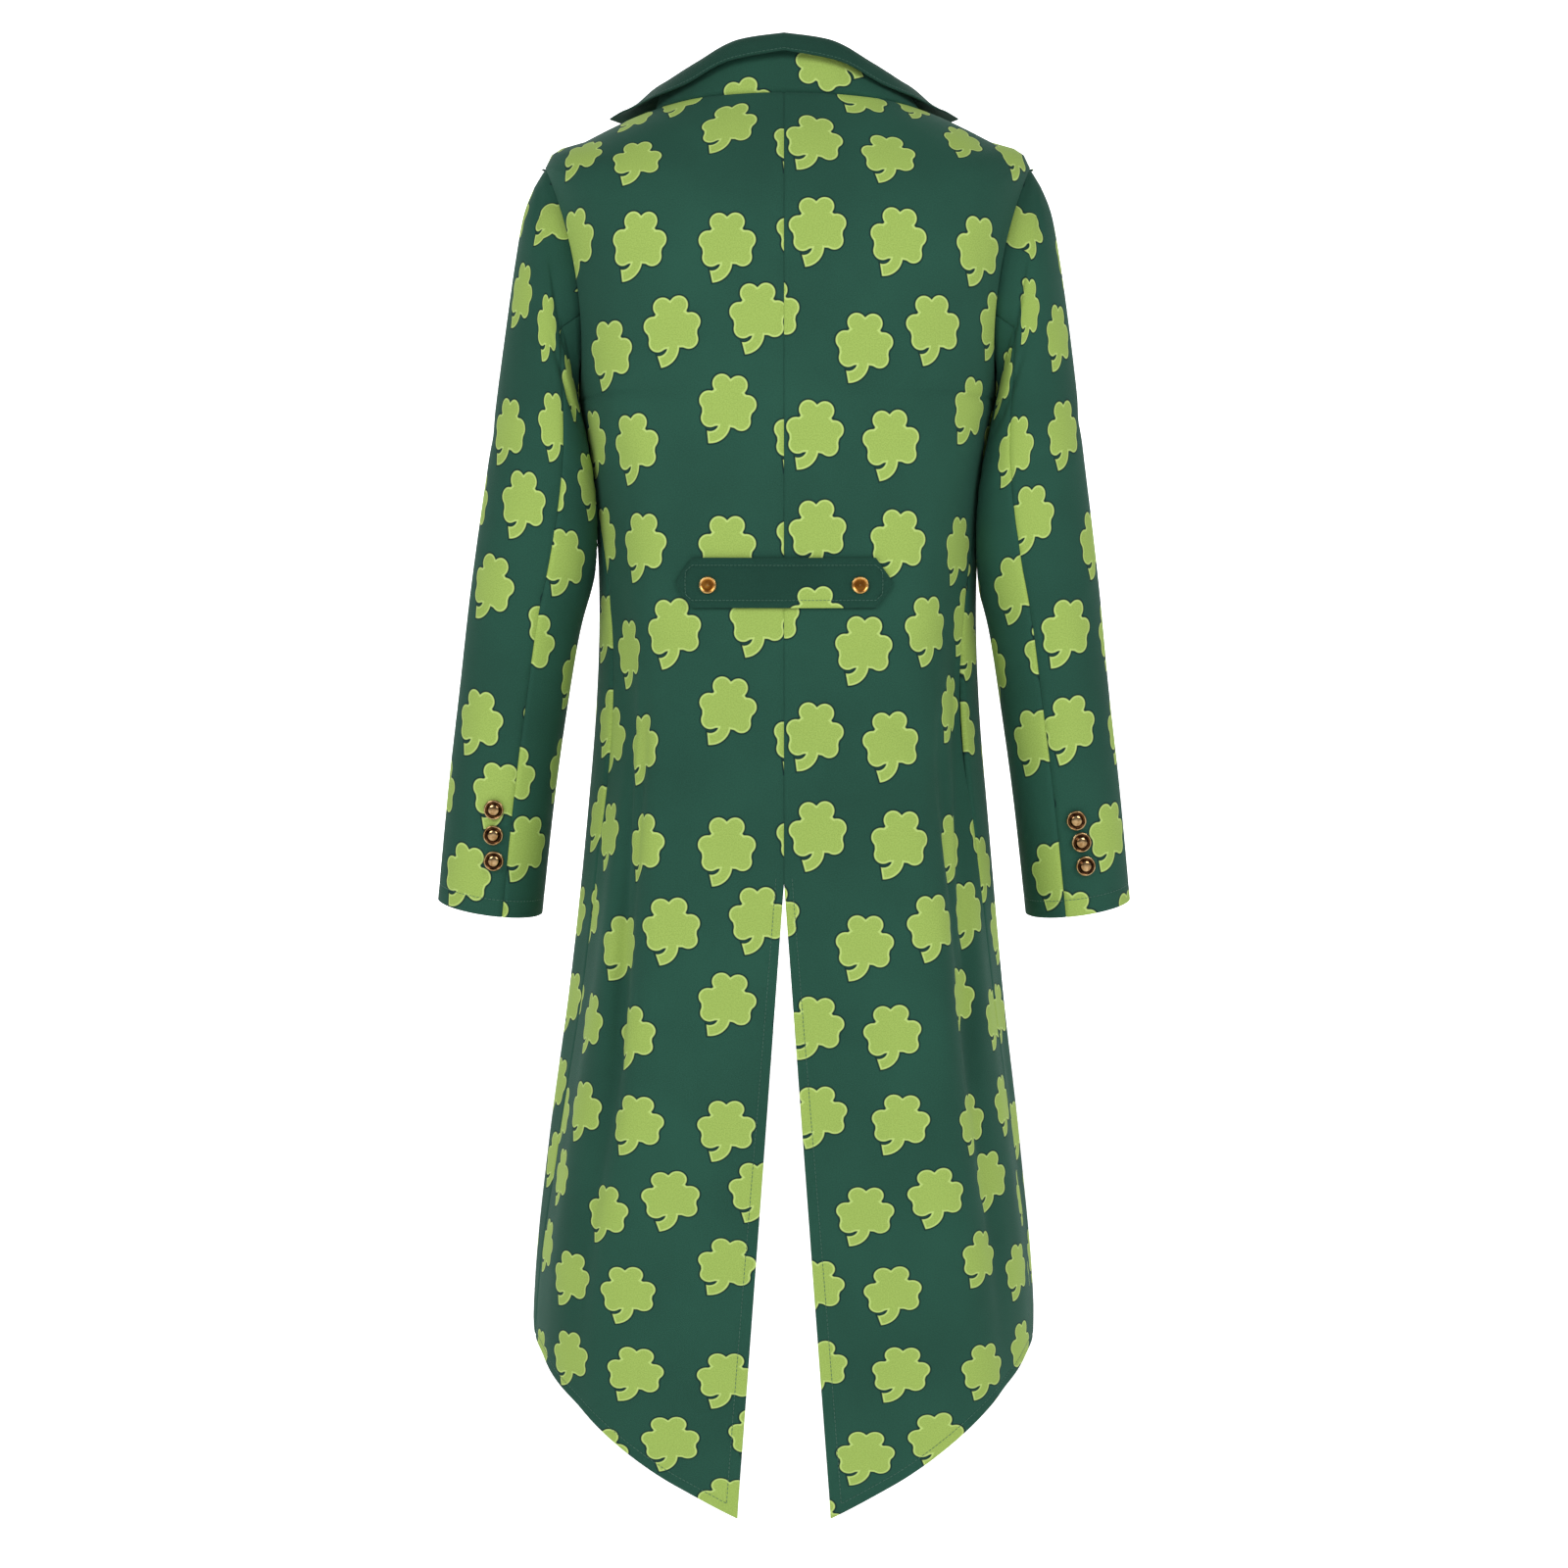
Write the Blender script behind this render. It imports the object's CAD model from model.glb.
import math

import bpy
import numpy as np
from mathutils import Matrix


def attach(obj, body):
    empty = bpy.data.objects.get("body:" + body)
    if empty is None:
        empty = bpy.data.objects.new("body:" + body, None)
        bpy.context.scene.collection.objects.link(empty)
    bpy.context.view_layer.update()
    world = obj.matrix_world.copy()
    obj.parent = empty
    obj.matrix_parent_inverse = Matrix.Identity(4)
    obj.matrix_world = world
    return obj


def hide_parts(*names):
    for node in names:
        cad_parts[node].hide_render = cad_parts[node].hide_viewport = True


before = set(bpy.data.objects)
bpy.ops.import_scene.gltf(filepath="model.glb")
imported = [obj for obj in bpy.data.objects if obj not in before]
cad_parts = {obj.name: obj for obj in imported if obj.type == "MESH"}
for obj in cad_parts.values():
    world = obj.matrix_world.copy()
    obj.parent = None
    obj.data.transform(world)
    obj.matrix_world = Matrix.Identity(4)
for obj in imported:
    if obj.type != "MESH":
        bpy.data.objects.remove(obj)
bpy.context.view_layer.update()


# The studio: a camera square on to the back of the coat, a pale floor and backdrop, and three wide soft lights, two
# of them beside the camera. The coat hangs clear of the floor, with its neck at the origin and its back towards +Y.
FLOOR_Z, HALF_WIDE, BACKDROP_Y, BACKDROP_TOP = -1.46, 9, -7, 6
COAT_MIDDLE = np.array((0, 0, -0.55))


def add(name, data):
    """Puts a mesh, a light or the camera into the scene."""
    item = bpy.data.objects.new(name, data)
    bpy.context.scene.collection.objects.link(item)
    return item


def start_material(name, settings):
    """A new material with its shader's sockets set; gives both, and the tree that they stand in."""
    material = bpy.data.materials.new(name)
    material.use_nodes = True
    shader = material.node_tree.nodes["Principled BSDF"]
    for socket, value in settings.items():
        shader.inputs[socket].default_value = value
    return material, material.node_tree, shader


def stage_plane(name, corners, tone, glow):
    """One flat four-cornered sheet of the studio, matt, with a little light of its own."""
    mesh = bpy.data.meshes.new(name)
    mesh.from_pydata(corners, [], [(0, 1, 2, 3)])
    settings = {"Base Color": tone, "Roughness": 0.9, "Emission Color": tone, "Emission Strength": glow}
    mesh.materials.append(start_material(name, settings)[0])
    add(name, mesh)


AROUND = np.array([(-1, -1), (1, -1), (1, 1), (-1, 1)])
floor = [(x * HALF_WIDE, y * HALF_WIDE, FLOOR_Z) for x, y in AROUND]
stage_plane("floor", floor, (0.93, 0.93, 0.93, 1), 0.5)
backdrop = [(x * HALF_WIDE, BACKDROP_Y, FLOOR_Z if z < 0 else BACKDROP_TOP) for x, z in AROUND]
stage_plane("backdrop", backdrop, (0.97, 0.97, 0.97, 1), 1.0)

camera = add("camera", bpy.data.cameras.new("camera"))
bpy.context.scene.camera = camera
camera.data.sensor_width = 36
camera.data.lens = 77.7
camera.data.shift_y = -0.045
camera.location = (0, 2.9, -0.530)
camera.rotation_euler = (math.pi / 2, 0, math.pi)

for name, place, size, power in [
    ("soft_light_left", (1.9, 2.5, 1.2), 1.6, 48),
    ("soft_light_right", (-2.0, 2.5, 1.1), 1.6, 44),
    ("soft_light_front", (0.4, -3.0, 1.6), 2.4, 40),
]:
    light = add(name, bpy.data.lights.new(name, "AREA"))
    light.data.size = size
    light.data.energy = power
    light.location = place
    x, y, z = COAT_MIDDLE - np.array(place)
    light.rotation_euler = (math.atan2(math.hypot(x, y), -z), 0, math.atan2(y, x) - math.pi / 2)

world = bpy.data.worlds.new("studio")
bpy.context.scene.world = world
world.use_nodes = True
world.node_tree.nodes["Background"].inputs["Color"].default_value = (0.95, 0.97, 1, 1)
world.node_tree.nodes["Background"].inputs["Strength"].default_value = 0.27
bpy.context.scene.view_settings.view_transform = "Standard"


# The two backs, each cut in one with its tail from light polyester suiting that is printed all over with shamrocks.
# They are sewn together down the middle, to a vent that opens into the two tails, whose edges are turned in and
# stitched. Sizes are in millimetres up to the mesh, and each piece keeps to the form of its solid.
SIDES = ((1, "left"), (-1, "right"))
BODY = np.array([
    # back, side and front heights, half width, depth behind and before, side's place, corner out and back, flank
    [-8, -13, -78, 112, 60, 66, -3, 0.7, 0.74, 0],
    [-46, -21, -116, 134, 87, 86, -3, 0.71, 0.76, 0],
    [-88, -40, -152, 172, 106, 104, -3, 0.73, 0.8, 0],
    [-128, -63, -184, 208, 115, 117, -3, 0.74, 0.82, 0],
    [-197, -165, -224, 201, 118, 126, -3, 0.74, 0.84, 0],
    [-267, -265, -267, 179, 115, 128, -3, 0.74, 0.86, 0],
    [-345, -345, -345, 166.5, 104, 121, -4, 0.72, 0.88, 2],
    [-430, -430, -430, 162, 96, 112, -6, 0.7, 0.92, 6],
    [-520, -520, -520, 164.5, 105, 114, -8, 0.69, 0.94, 9],
    [-620, -620, -620, 172.5, 121, 118, -8, 0.69, 0.94, 9],
    [-760, -760, -760, 186, 134, 124, -8, 0.7, 0.92, 7],
    [-900, -900, -900, 203, 144, 130, -6, 0.72, 0.9, 4],
    [-1030, -1030, -1030, 214.5, 152, 134, -4, 0.74, 0.86, 1],
    [-1220, -1220, -1220, 217, 160, 138, 0, 0.75, 0.84, 0],
])
NECK, SHOULDER, UNDERARM, WAIST, TIP = 0, 3, 5, 7, 13
WAIST_Z, TIP_Z = -430, -1184
FRONT_CORNER_OUT, FRONT_CORNER_FORE = 0.78, 0.74
ASKEW = 3.2  # the left side hangs this much nearer the middle, and the right side as much further out
# The long soft folds of the skirt: side, turn, spread, how proud, and the heights where each starts and is full.
SKIRT_FOLDS = [
    (1, 0.82, 0.15, 3, -450, -640),
    (1, 1.1, 0.1, -7, -450, -620),
    (1, 1.38, 0.14, 4, -450, -700),
    (1, 1.76, 0.13, -3, -560, -820),
    (1, 0.48, 0.2, -4, -700, -1000),
    (-1, 0.92, 0.16, 3, -470, -680),
    (-1, 1.24, 0.1, -7, -470, -660),
    (-1, 1.52, 0.13, 4, -500, -760),
    (-1, 1.88, 0.13, -4, -600, -860),
    (-1, 0.55, 0.2, -4, -760, -1040),
]
HEM = np.array([
    # turn, height
    [0, -1196], [0.5, -1157], [1, -1105], [1.5, -1069], [2, -1035],
    [2.5, -876], [3, -650], [3.5, -520], [4, -472], [4.5, -472],
])
SIDE_SEAM = np.array([[-265, 2], [-345, 1.84], [-430, 1.7], [-620, 1.68], [-1100, 1.8]])
VENT_TOP_Z, VENT_HALF_FOOT = -663, 38
ARMHOLE_X, ARMHOLE_Y, ARMHOLE_Z, ARMHOLE_HALF_DEPTH, ARMHOLE_HALF_HEIGHT = 193, -3, -164, 57, 101
EDGE = np.array([0, 0.5, 1.3, 2.6, 4.3, 6, 7.7, 10])  # grid lines beside an edge
SEWN = 5  # which of them is stitched
CLOTH_THICK, RIM_BULGE = 1.5, 0.25
WRONG_SIDE = 1  # its place among a piece's materials
LEVEL_STEPS, TURN_STEPS = 20, 40  # lines of the measuring grid to a level and to a turn
LAST_TURN = 4.6  # past the middle of the front, as far as the closing edge reaches


def smooth(t):
    """The S-curve 3t2 - 2t3 between 0 and 1."""
    t = np.clip(t, 0, 1)
    return t * t * (3 - 2 * t)


def cubic(a, b, c, d, t):
    """The Catmull-Rom curve from b to c, a share t of the way, with neighbours a and d."""
    return b + 0.5 * t * (c - a + t * (2 * a - 5 * b + 4 * c - d + t * (3 * (b - c) + d - a)))


def through(table, at):
    """A smooth passage through a table's rows, at any fractional row numbers."""
    table, at = np.asarray(table, float), np.asarray(at, float)
    i = np.clip(np.floor(at).astype(int), 0, len(table) - 2)
    four = [table[np.clip(i + k, 0, len(table) - 1)] for k in (-1, 0, 1, 2)]
    return cubic(*four, (at - i)[(...,) + (None,) * (table.ndim - 1)])


def look_up(table, at):
    """A smooth passage through a table by the value in its first column, which rises or falls steadily."""
    way = np.sign(table[-1, 0] - table[0, 0])
    return through(table[:, 1:], np.interp(way * np.asarray(at, float), way * table[:, 0], np.arange(len(table))))


def solve(f, target, low, high):
    """Where a steadily rising or falling function takes a value, found by halving, on whole arrays."""
    low, high = np.broadcast_arrays(np.asarray(low, float), np.asarray(high, float) + 0 * np.asarray(target, float))
    rising = f(high) > f(low)
    for _ in range(30):
        mid = (low + high) / 2
        below = (f(mid) < target) == rising
        low, high = np.where(below, mid, low), np.where(below, high, mid)
    return (low + high) / 2


def body(side, level, turn):
    """The coat's body: at a level, a closed smooth curve through eight stations, with turn 0 behind, 2 at the side
    and 4 before; its height runs from the back's or front's to the side's by the squared cosine of the way round."""
    level, turn = np.broadcast_arrays(np.asarray(level, float), np.asarray(turn, float))
    row = np.moveaxis(through(BODY, level), -1, 0)
    z_back, z_side, z_front, half, back, front, side_y, corner_out, corner_back, flank = row
    half = half - side * ASKEW * smooth((z_side + 1000) / 400)
    nil = np.zeros_like(half)
    xs = [nil, half * corner_out, half, half * FRONT_CORNER_OUT, nil]
    ys = [back, side_y + (back - side_y) * corner_back, side_y, side_y - (front + side_y) * FRONT_CORNER_FORE, -front]
    xs, ys = np.stack(xs + [-xs[3], -xs[2], -xs[1]]), np.stack(ys + ys[3:0:-1])
    i = np.floor(turn).astype(int)
    x, y = (
        cubic(*(np.take_along_axis(s, ((i + k) % 8)[None], 0)[0] for k in (-1, 0, 1, 2)), turn - i) for s in (xs, ys)
    )
    angle = turn * math.pi / 4
    z = z_side + (np.where(turn < 2, z_back, z_front) - z_side) * np.cos(angle) ** 2
    proud = sum(
        height * smooth((z - start) / (full - start)) * np.exp(-(((turn - middle) / spread) ** 2))
        for where, middle, spread, height, start, full in SKIRT_FOLDS
        if where == side
    )
    proud = proud * (1 - 0.8 * smooth((-z - 900) / 180))
    drawn_in = flank * np.exp(-(((turn - 1.5) / 0.28) ** 2))
    return np.stack([side * (x - drawn_in + proud * np.sin(angle)), y + proud * np.cos(angle), z], -1)


def level_at(z):
    """The level whose side lies at a height, below the arms."""
    levels = np.linspace(UNDERARM, TIP, 1200)
    return np.interp(-z, -through(BODY[:, 1], levels), levels)


BREAK_LEVEL = float(solve(lambda level: through(BODY[:, 2], level), -262, NECK, WAIST))


def outer(side, level, turn):
    """The body's surface, with the left front lifted off the right one where they overlap."""
    point = body(side, level, turn)
    if side > 0:
        lift = smooth((turn - 3.4) / 0.4) * smooth((level - BREAK_LEVEL + 0.9) / 0.8)
        point[..., 1] -= 3.6 * lift
    return point


def place_at(side, out, z, is_front):
    """The level and turn seen from behind or before at a distance out from the middle and a height."""
    low, high = (2, LAST_TURN) if is_front else (0, 2)
    turn_for = lambda level: solve(lambda turn: side * body(side, level, turn)[..., 0], out, low, high)
    level = solve(lambda at: body(side, at, turn_for(at))[..., 2], z, NECK, TIP)
    return level, turn_for(level)


def armhole(side, degrees, shift):
    """The armhole's ring: it leans, drops and is scooped by the sine and cosine of the way round it."""
    c, s = np.cos(np.radians(degrees)), np.sin(np.radians(degrees))
    x = ARMHOLE_X + 15 * c - np.where(s > 0, 14, 20) * s * s - side * ASKEW + shift
    return np.stack([side * x, ARMHOLE_Y + ARMHOLE_HALF_DEPTH * s, ARMHOLE_Z + ARMHOLE_HALF_HEIGHT * c], -1)


def spread(width, count):
    """Distances across a width: the edge's grid lines, even ones between, and the other edge's."""
    even = EDGE[-1] + (width - 2 * EDGE[-1]) * np.linspace(0, 1, count + 2)[1:-1]
    return np.concatenate([np.broadcast_to(EDGE, (*width.shape[:-1], len(EDGE))), even, width - EDGE[::-1]], -1)


def lengths(points, axis):
    """Distance run along one way of a grid of points."""
    step = np.linalg.norm(np.diff(points, axis=axis), axis=-1)
    start = np.zeros_like(np.take(step, [0], axis))
    return np.concatenate([start, np.cumsum(step, axis)], axis)


def read_run(run, a, b):
    """The cloth lengths at any fractional row and column, by straight passage between the four nearest places."""
    a, b = np.clip(a, 0, run.shape[0] - 1.001), np.clip(b, 0, run.shape[1] - 1.001)
    i, j = a.astype(int), b.astype(int)
    p, q = (a - i)[..., None], (b - j)[..., None]
    return (run[i, j] * (1 - q) + run[i, j + 1] * q) * (1 - p) + (run[i + 1, j] * (1 - q) + run[i + 1, j + 1] * q) * p


def body_run(side, level, turn):
    """Cloth lengths at places of the body: across from the middle of the back, and down from the level of the waist,
    both run along a grid of its levels and turns."""
    levels, turns = np.linspace(NECK, TIP, TIP * LEVEL_STEPS + 1), np.linspace(0, 4.8, 193)
    grid = body(side, levels[:, None], turns[None])
    across, down = lengths(grid, 1), lengths(grid, 0)
    run = np.stack([across, down - down[WAIST * LEVEL_STEPS]], -1)
    return read_run(run, level * LEVEL_STEPS, turn * TURN_STEPS)


def ways_out(grid, flip):
    """The way out of a grid at each of its points, square to both its ways."""
    across = np.gradient(grid, axis=1)
    down = np.gradient(grid, axis=0)
    way = np.cross(across, down) * (-1 if flip else 1)
    return way / np.maximum(np.linalg.norm(way, axis=-1, keepdims=True), 1e-9)


def troughs(lines, p, q):
    """Soft creases: each line runs from one place to another, is as deep as it says half way, and fades to nothing at
    its ends and, as a bell curve, to its sides. A negative depth is a ridge."""
    depth = np.zeros_like(p)
    for p0, q0, p1, q1, width, deep in lines:
        dp, dq = p1 - p0, q1 - q0
        t = np.clip(((p - p0) * dp + (q - q0) * dq) / (dp * dp + dq * dq), 0, 1)
        off = np.hypot(p - p0 - t * dp, q - q0 - t * dq)
        depth += deep * np.sin(np.pi * t) * np.exp(-((off / width) ** 2))
    return depth


def sink(distance, width, deep):
    """How far the cloth dips at a seam or a stitched line: a bell curve of the distance from it."""
    return deep * np.exp(-((distance / width) ** 2))


def perimeter(grid):
    """The outermost places of a grid, once round."""
    return np.concatenate([grid[0, :-1], grid[:-1, -1], grid[-1, :0:-1], grid[:0:-1, 0]])


def smooth_mesh(name, points, faces, materials, which=0):
    """A smoothly shaded mesh of points in millimetres, and which of the materials each face has."""
    mesh = bpy.data.meshes.new(name)
    mesh.from_pydata(points / 1000, [], faces)
    for material in materials:
        mesh.materials.append(material)
    count = len(mesh.polygons)
    mesh.polygons.foreach_set("use_smooth", np.ones(count, bool))
    mesh.polygons.foreach_set("material_index", np.zeros(count, np.int32) + which)
    mesh.update()
    return mesh


def cloth(node, face, run, flip, materials):
    """A sheet of cloth in place of a node: its outer grid, an inner one a thickness in, and between them a rim that
    bulges a little. The map holds the lengths of cloth, in metres."""
    rows, columns = face.shape[:2]
    inner = face - ways_out(face, flip) * CLOTH_THICK
    number = np.arange(rows * columns).reshape(rows, columns)
    round_it, inside = perimeter(number), perimeter(np.pad(number[1:-1, 1:-1], 1, "edge"))
    flat_face, flat_inner = face.reshape(-1, 3), inner.reshape(-1, 3)
    away = flat_face[round_it] - flat_face[inside]
    away /= np.maximum(np.linalg.norm(away, axis=1, keepdims=True), 1e-9)
    rim = (flat_face[round_it] + flat_inner[round_it]) / 2 + away * RIM_BULGE * CLOTH_THICK
    points = np.concatenate([flat_face, flat_inner, rim])
    whole = rows * columns
    a, b, c, d = number[:-1, :-1], number[:-1, 1:], number[1:, 1:], number[1:, :-1]
    front = np.stack([a, b, c, d], -1).reshape(-1, 4)
    back = front[:, ::-1] + whole
    middle = 2 * whole + np.arange(len(round_it))
    after = np.roll(round_it, -1)
    next_middle = np.roll(middle, -1)
    rim_front = np.stack([after, round_it, middle, next_middle], -1)
    rim_back = np.stack([next_middle, middle, round_it + whole, after + whole], -1)
    quads = np.concatenate([front, rim_front, back, rim_back])
    if flip:
        quads = quads[:, ::-1]
    which = np.zeros(len(quads), np.int32)
    which[len(front) + len(rim_front):] = min(WRONG_SIDE, len(materials) - 1)
    name = f"{node}_cloth"
    mesh = smooth_mesh(name, points, quads.tolist(), materials, which)
    spot = np.concatenate([run.reshape(-1, 2), run.reshape(-1, 2), run.reshape(-1, 2)[round_it]]) / 1000
    corner = np.zeros(len(mesh.loops), np.int32)
    mesh.loops.foreach_get("vertex_index", corner)
    mesh.uv_layers.new(name="cloth").uv.foreach_set("vector", spot[corner].astype(np.float32).ravel())
    piece = add(name, mesh)
    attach(piece, "root")
    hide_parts(node)
    return piece


def wire(tree, kind, *inputs, output=0, **settings):
    """Adds a node, sets its inputs in turn to sockets or plain values, and gives back one output."""
    node = tree.nodes.new(kind)
    for key, value in settings.items():
        setattr(node, key, value)
    for socket, value in zip(node.inputs, inputs):
        if isinstance(value, bpy.types.NodeSocket):
            tree.links.new(value, socket)
        elif value is not None:
            socket.default_value = value
    return node.outputs[output]


def maths(tree, operation, *inputs):
    """One step of arithmetic on numbers."""
    return wire(tree, "ShaderNodeMath", *inputs, operation=operation)


def vector(tree, operation, *inputs, output=0):
    """One step of arithmetic on places; output 1 is the one that is a number."""
    return wire(tree, "ShaderNodeVectorMath", *inputs, operation=operation, output=output)


def mixed(tree, kind, share, first, second):
    """What goes from the first to the second with the share: a colour (RGBA) or a place (VECTOR)."""
    before, output = {"VECTOR": (3, 1), "RGBA": (5, 2)}[kind]
    inputs = [share, *[None] * before, first, second]
    return wire(tree, "ShaderNodeMix", *inputs, output=output, data_type=kind)


def band(tree, value, low, high):
    """0 below low, 1 above high, and an S-curve between."""
    return wire(tree, "ShaderNodeMapRange", value, low, high, 0.0, 1.0, interpolation_type="SMOOTHSTEP")


def noise(tree, place, scale, detail=2):
    """Soft clouds, this many to a metre."""
    return wire(tree, "ShaderNodeTexNoise", place, None, scale, detail, noise_dimensions="3D")


def object_place(tree):
    """The place in the shared frame, in metres."""
    return wire(tree, "ShaderNodeTexCoord", output=3)


def x_and_y(tree, place):
    """A place's first two parts."""
    return (wire(tree, "ShaderNodeSeparateXYZ", place, output=k) for k in (0, 1))


def relief(tree, shader, height, strength, deep):
    """A fine relief on the surface, this deep in metres."""
    bump = tree.nodes.new("ShaderNodeBump")
    bump.inputs["Strength"].default_value = strength
    bump.inputs["Distance"].default_value = deep
    tree.links.new(height, bump.inputs["Height"])
    tree.links.new(bump.outputs[0], shader.inputs["Normal"])


def colour(red, green, blue):
    """A display colour, 0 to 255, as the linear one that shaders take."""
    share = np.array([red, green, blue]) / 255
    linear = np.where(share <= 0.04045, share / 12.92, ((share + 0.055) / 1.055) ** 2.4)
    return (*linear.tolist(), 1)


def toned(tone, share):
    """The tone with its light taken this many times."""
    return tuple(part * share for part in tone[:3]) + (1,)


# The print, charted by hand: where the shamrocks stand in one repeat of it, right of the back seam and below the neck
# seam, and how each is turned, in degrees.
REPEAT = (207, 247)
SHAMROCKS = [
    (25, 43, 5), (89, 50.5, -4), (170, 20, 7),
    (28, 124, -3), (95, 132, 4), (170, 135, 0),
    (66, 219, 2), (125, 202.5, -5), (196, 193, -2),
]
# Each is made of circles on both sides of its middle line, given as out, up and radius, and of a stem that is part of
# a ring, cut off by a slanted foot below and at its top.
LEAVES = [
    (6.8, 21, 7.8), (16, 6.3, 7.8), (13, -7.8, 7.7),
    (0, 15.3, 9.6), (8, 9.8, 7), (11.4, -0.6, 9), (0, 0, 12.5), (6, -5.5, 8),
]
LEAF_BLEND, STEM_BLEND = 2.4, 0.8
STEM_RING, STEM_RADIUS, STEM_HALF = (-12.5, -11.5, 0), 12.1, 4.9
STEM_FOOT, FOOT_WAY, STEM_TOP = (-13.2, -23.3, 0), (-0.976, -0.218, 0), -4.0
OUTLINE, RIM = colour(16, 46, 44), colour(184, 208, 118)
LEAF_DARK, LEAF_LIGHT = colour(148, 174, 84), colour(162, 188, 95)
TWILL_PITCH, TWILL_DEEP = 0.0009, 0.00006


def nearest_shamrock(tree, place, chart):
    """The place as seen from the nearest shamrock of the chart, in millimetres, turned upright: for each one the
    repeat is wrapped round it, and the one whose middle is the least far wins."""
    spot = vector(tree, "MULTIPLY", place, (1000, 1000, 0))
    half = (REPEAT[0] / 2, REPEAT[1] / 2, 1)
    near, least = None, None
    for u, v, angle in chart:
        local = vector(tree, "SUBTRACT", spot, (u, -v, 0))
        local = vector(tree, "WRAP", local, half, tuple(-h for h in half))
        turn = ((0, 0, 0), (0, 0, 1), math.radians(angle))
        local = wire(tree, "ShaderNodeVectorRotate", local, *turn, rotation_type="Z_AXIS")
        far = vector(tree, "LENGTH", local, output=1)
        if near is None:
            near, least = local, far
        else:
            near = mixed(tree, "VECTOR", maths(tree, "LESS_THAN", far, least), near, local)
            least = maths(tree, "MINIMUM", far, least)
    return near


def shamrock_edge(tree, near):
    """How far outside the nearest shamrock's edge a place is, in millimetres, and less than 0 inside: the least of
    the distances to its circles and its stem, blended softly."""
    x, y = x_and_y(tree, near)
    folded = wire(tree, "ShaderNodeCombineXYZ", maths(tree, "ABSOLUTE", x), y, 0.0)
    edge = None
    for lobe_x, lobe_y, radius in LEAVES:
        to_lobe = vector(tree, "LENGTH", vector(tree, "SUBTRACT", folded, (lobe_x, lobe_y, 0)), output=1)
        lobe = maths(tree, "SUBTRACT", to_lobe, float(radius))
        edge = lobe if edge is None else maths(tree, "SMOOTH_MIN", edge, lobe, LEAF_BLEND)
    to_ring = vector(tree, "LENGTH", vector(tree, "SUBTRACT", near, STEM_RING), output=1)
    stem = maths(tree, "ABSOLUTE", maths(tree, "SUBTRACT", to_ring, STEM_RADIUS))
    stem = maths(tree, "SUBTRACT", stem, STEM_HALF)
    foot = vector(tree, "DOT_PRODUCT", vector(tree, "SUBTRACT", near, STEM_FOOT), FOOT_WAY, output=1)
    stem = maths(tree, "MAXIMUM", maths(tree, "MAXIMUM", stem, foot), maths(tree, "SUBTRACT", y, STEM_TOP))
    return maths(tree, "SMOOTH_MIN", edge, stem, STEM_BLEND)


def cloth_material(name, ground, shamrocks=(), roughness=0.84, sheen=0.06):
    """Matt polyester suiting: a ground colour that varies softly, a fine twill of two crossing waves along the cloth's
    own map, and a slight sheen, with the shamrocks of a chart, or plain."""
    material, tree, shader = start_material(name, {
        "Roughness": roughness, "Specular IOR Level": 0.16, "Sheen Weight": sheen, "Sheen Roughness": 0.5,
        "Sheen Tint": (0.35, 0.62, 0.5, 1),
    })
    place = wire(tree, "ShaderNodeUVMap", uv_map="cloth")
    cloud, slub = noise(tree, object_place(tree), 9, 4), noise(tree, place, 900)
    shade = maths(tree, "ADD", maths(tree, "MULTIPLY", cloud, 0.5), maths(tree, "MULTIPLY", slub, 0.5))
    tint = mixed(tree, "RGBA", band(tree, shade, 0.3, 0.7), toned(ground, 0.84), toned(ground, 1.18))
    if shamrocks:
        edge = shamrock_edge(tree, nearest_shamrock(tree, place, shamrocks))
        outline = maths(tree, "SUBTRACT", 1.0, band(tree, edge, 0.8, 1.9))
        inside = maths(tree, "SUBTRACT", 1.0, band(tree, edge, -0.4, 0.3))
        leaf = mixed(tree, "RGBA", band(tree, slub, 0.35, 0.65), LEAF_DARK, LEAF_LIGHT)
        leaf = mixed(tree, "RGBA", band(tree, edge, -1.9, -1.1), leaf, RIM)
        tint = mixed(tree, "RGBA", inside, mixed(tree, "RGBA", outline, tint, OUTLINE), leaf)
    tree.links.new(tint, shader.inputs["Base Color"])
    across, down = x_and_y(tree, place)
    rate = 2 * math.pi / TWILL_PITCH
    twill = maths(tree, "SINE", maths(tree, "MULTIPLY", maths(tree, "ADD", across, down), rate))
    warp = maths(tree, "SINE", maths(tree, "MULTIPLY", across, rate * 1.7))
    relief(tree, shader, maths(tree, "ADD", twill, maths(tree, "MULTIPLY", warp, 0.6)), 0.5, TWILL_DEEP)
    return material


printed_cloth = cloth_material("printed_cloth", colour(35, 77, 63), SHAMROCKS)
wrong_side = cloth_material("wrong_side_of_cloth", colour(28, 58, 48))

NECK_TO_WAIST = 424
YOKE_LEVEL = 38  # how long a level is beside the neck
ROLL_OUT, ROLL_FALL = 80, 75  # the front edge's place out at the neck, and how much nearer it comes by the break
OVERLAP = 25  # how far a front reaches past the middle
FRONT_TURN, HEM_TURN = 100, 105  # how long a turn is across the front, and along the hem
FAR = 1000.0


def down_print(run):
    """How far down the print the body's cloth stands, from its length below the neck seam: the shamrocks get squatter
    to the tails."""
    down = run[..., 1] + NECK_TO_WAIST
    return 0.985 * down + 0.000325 * np.maximum(0, down - 600) ** 2


def overlap_turn(level):
    """The overlap past the middle of the front, as a turn."""
    return OVERLAP / (through(BODY[:, 3], level) * 0.9)


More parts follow.
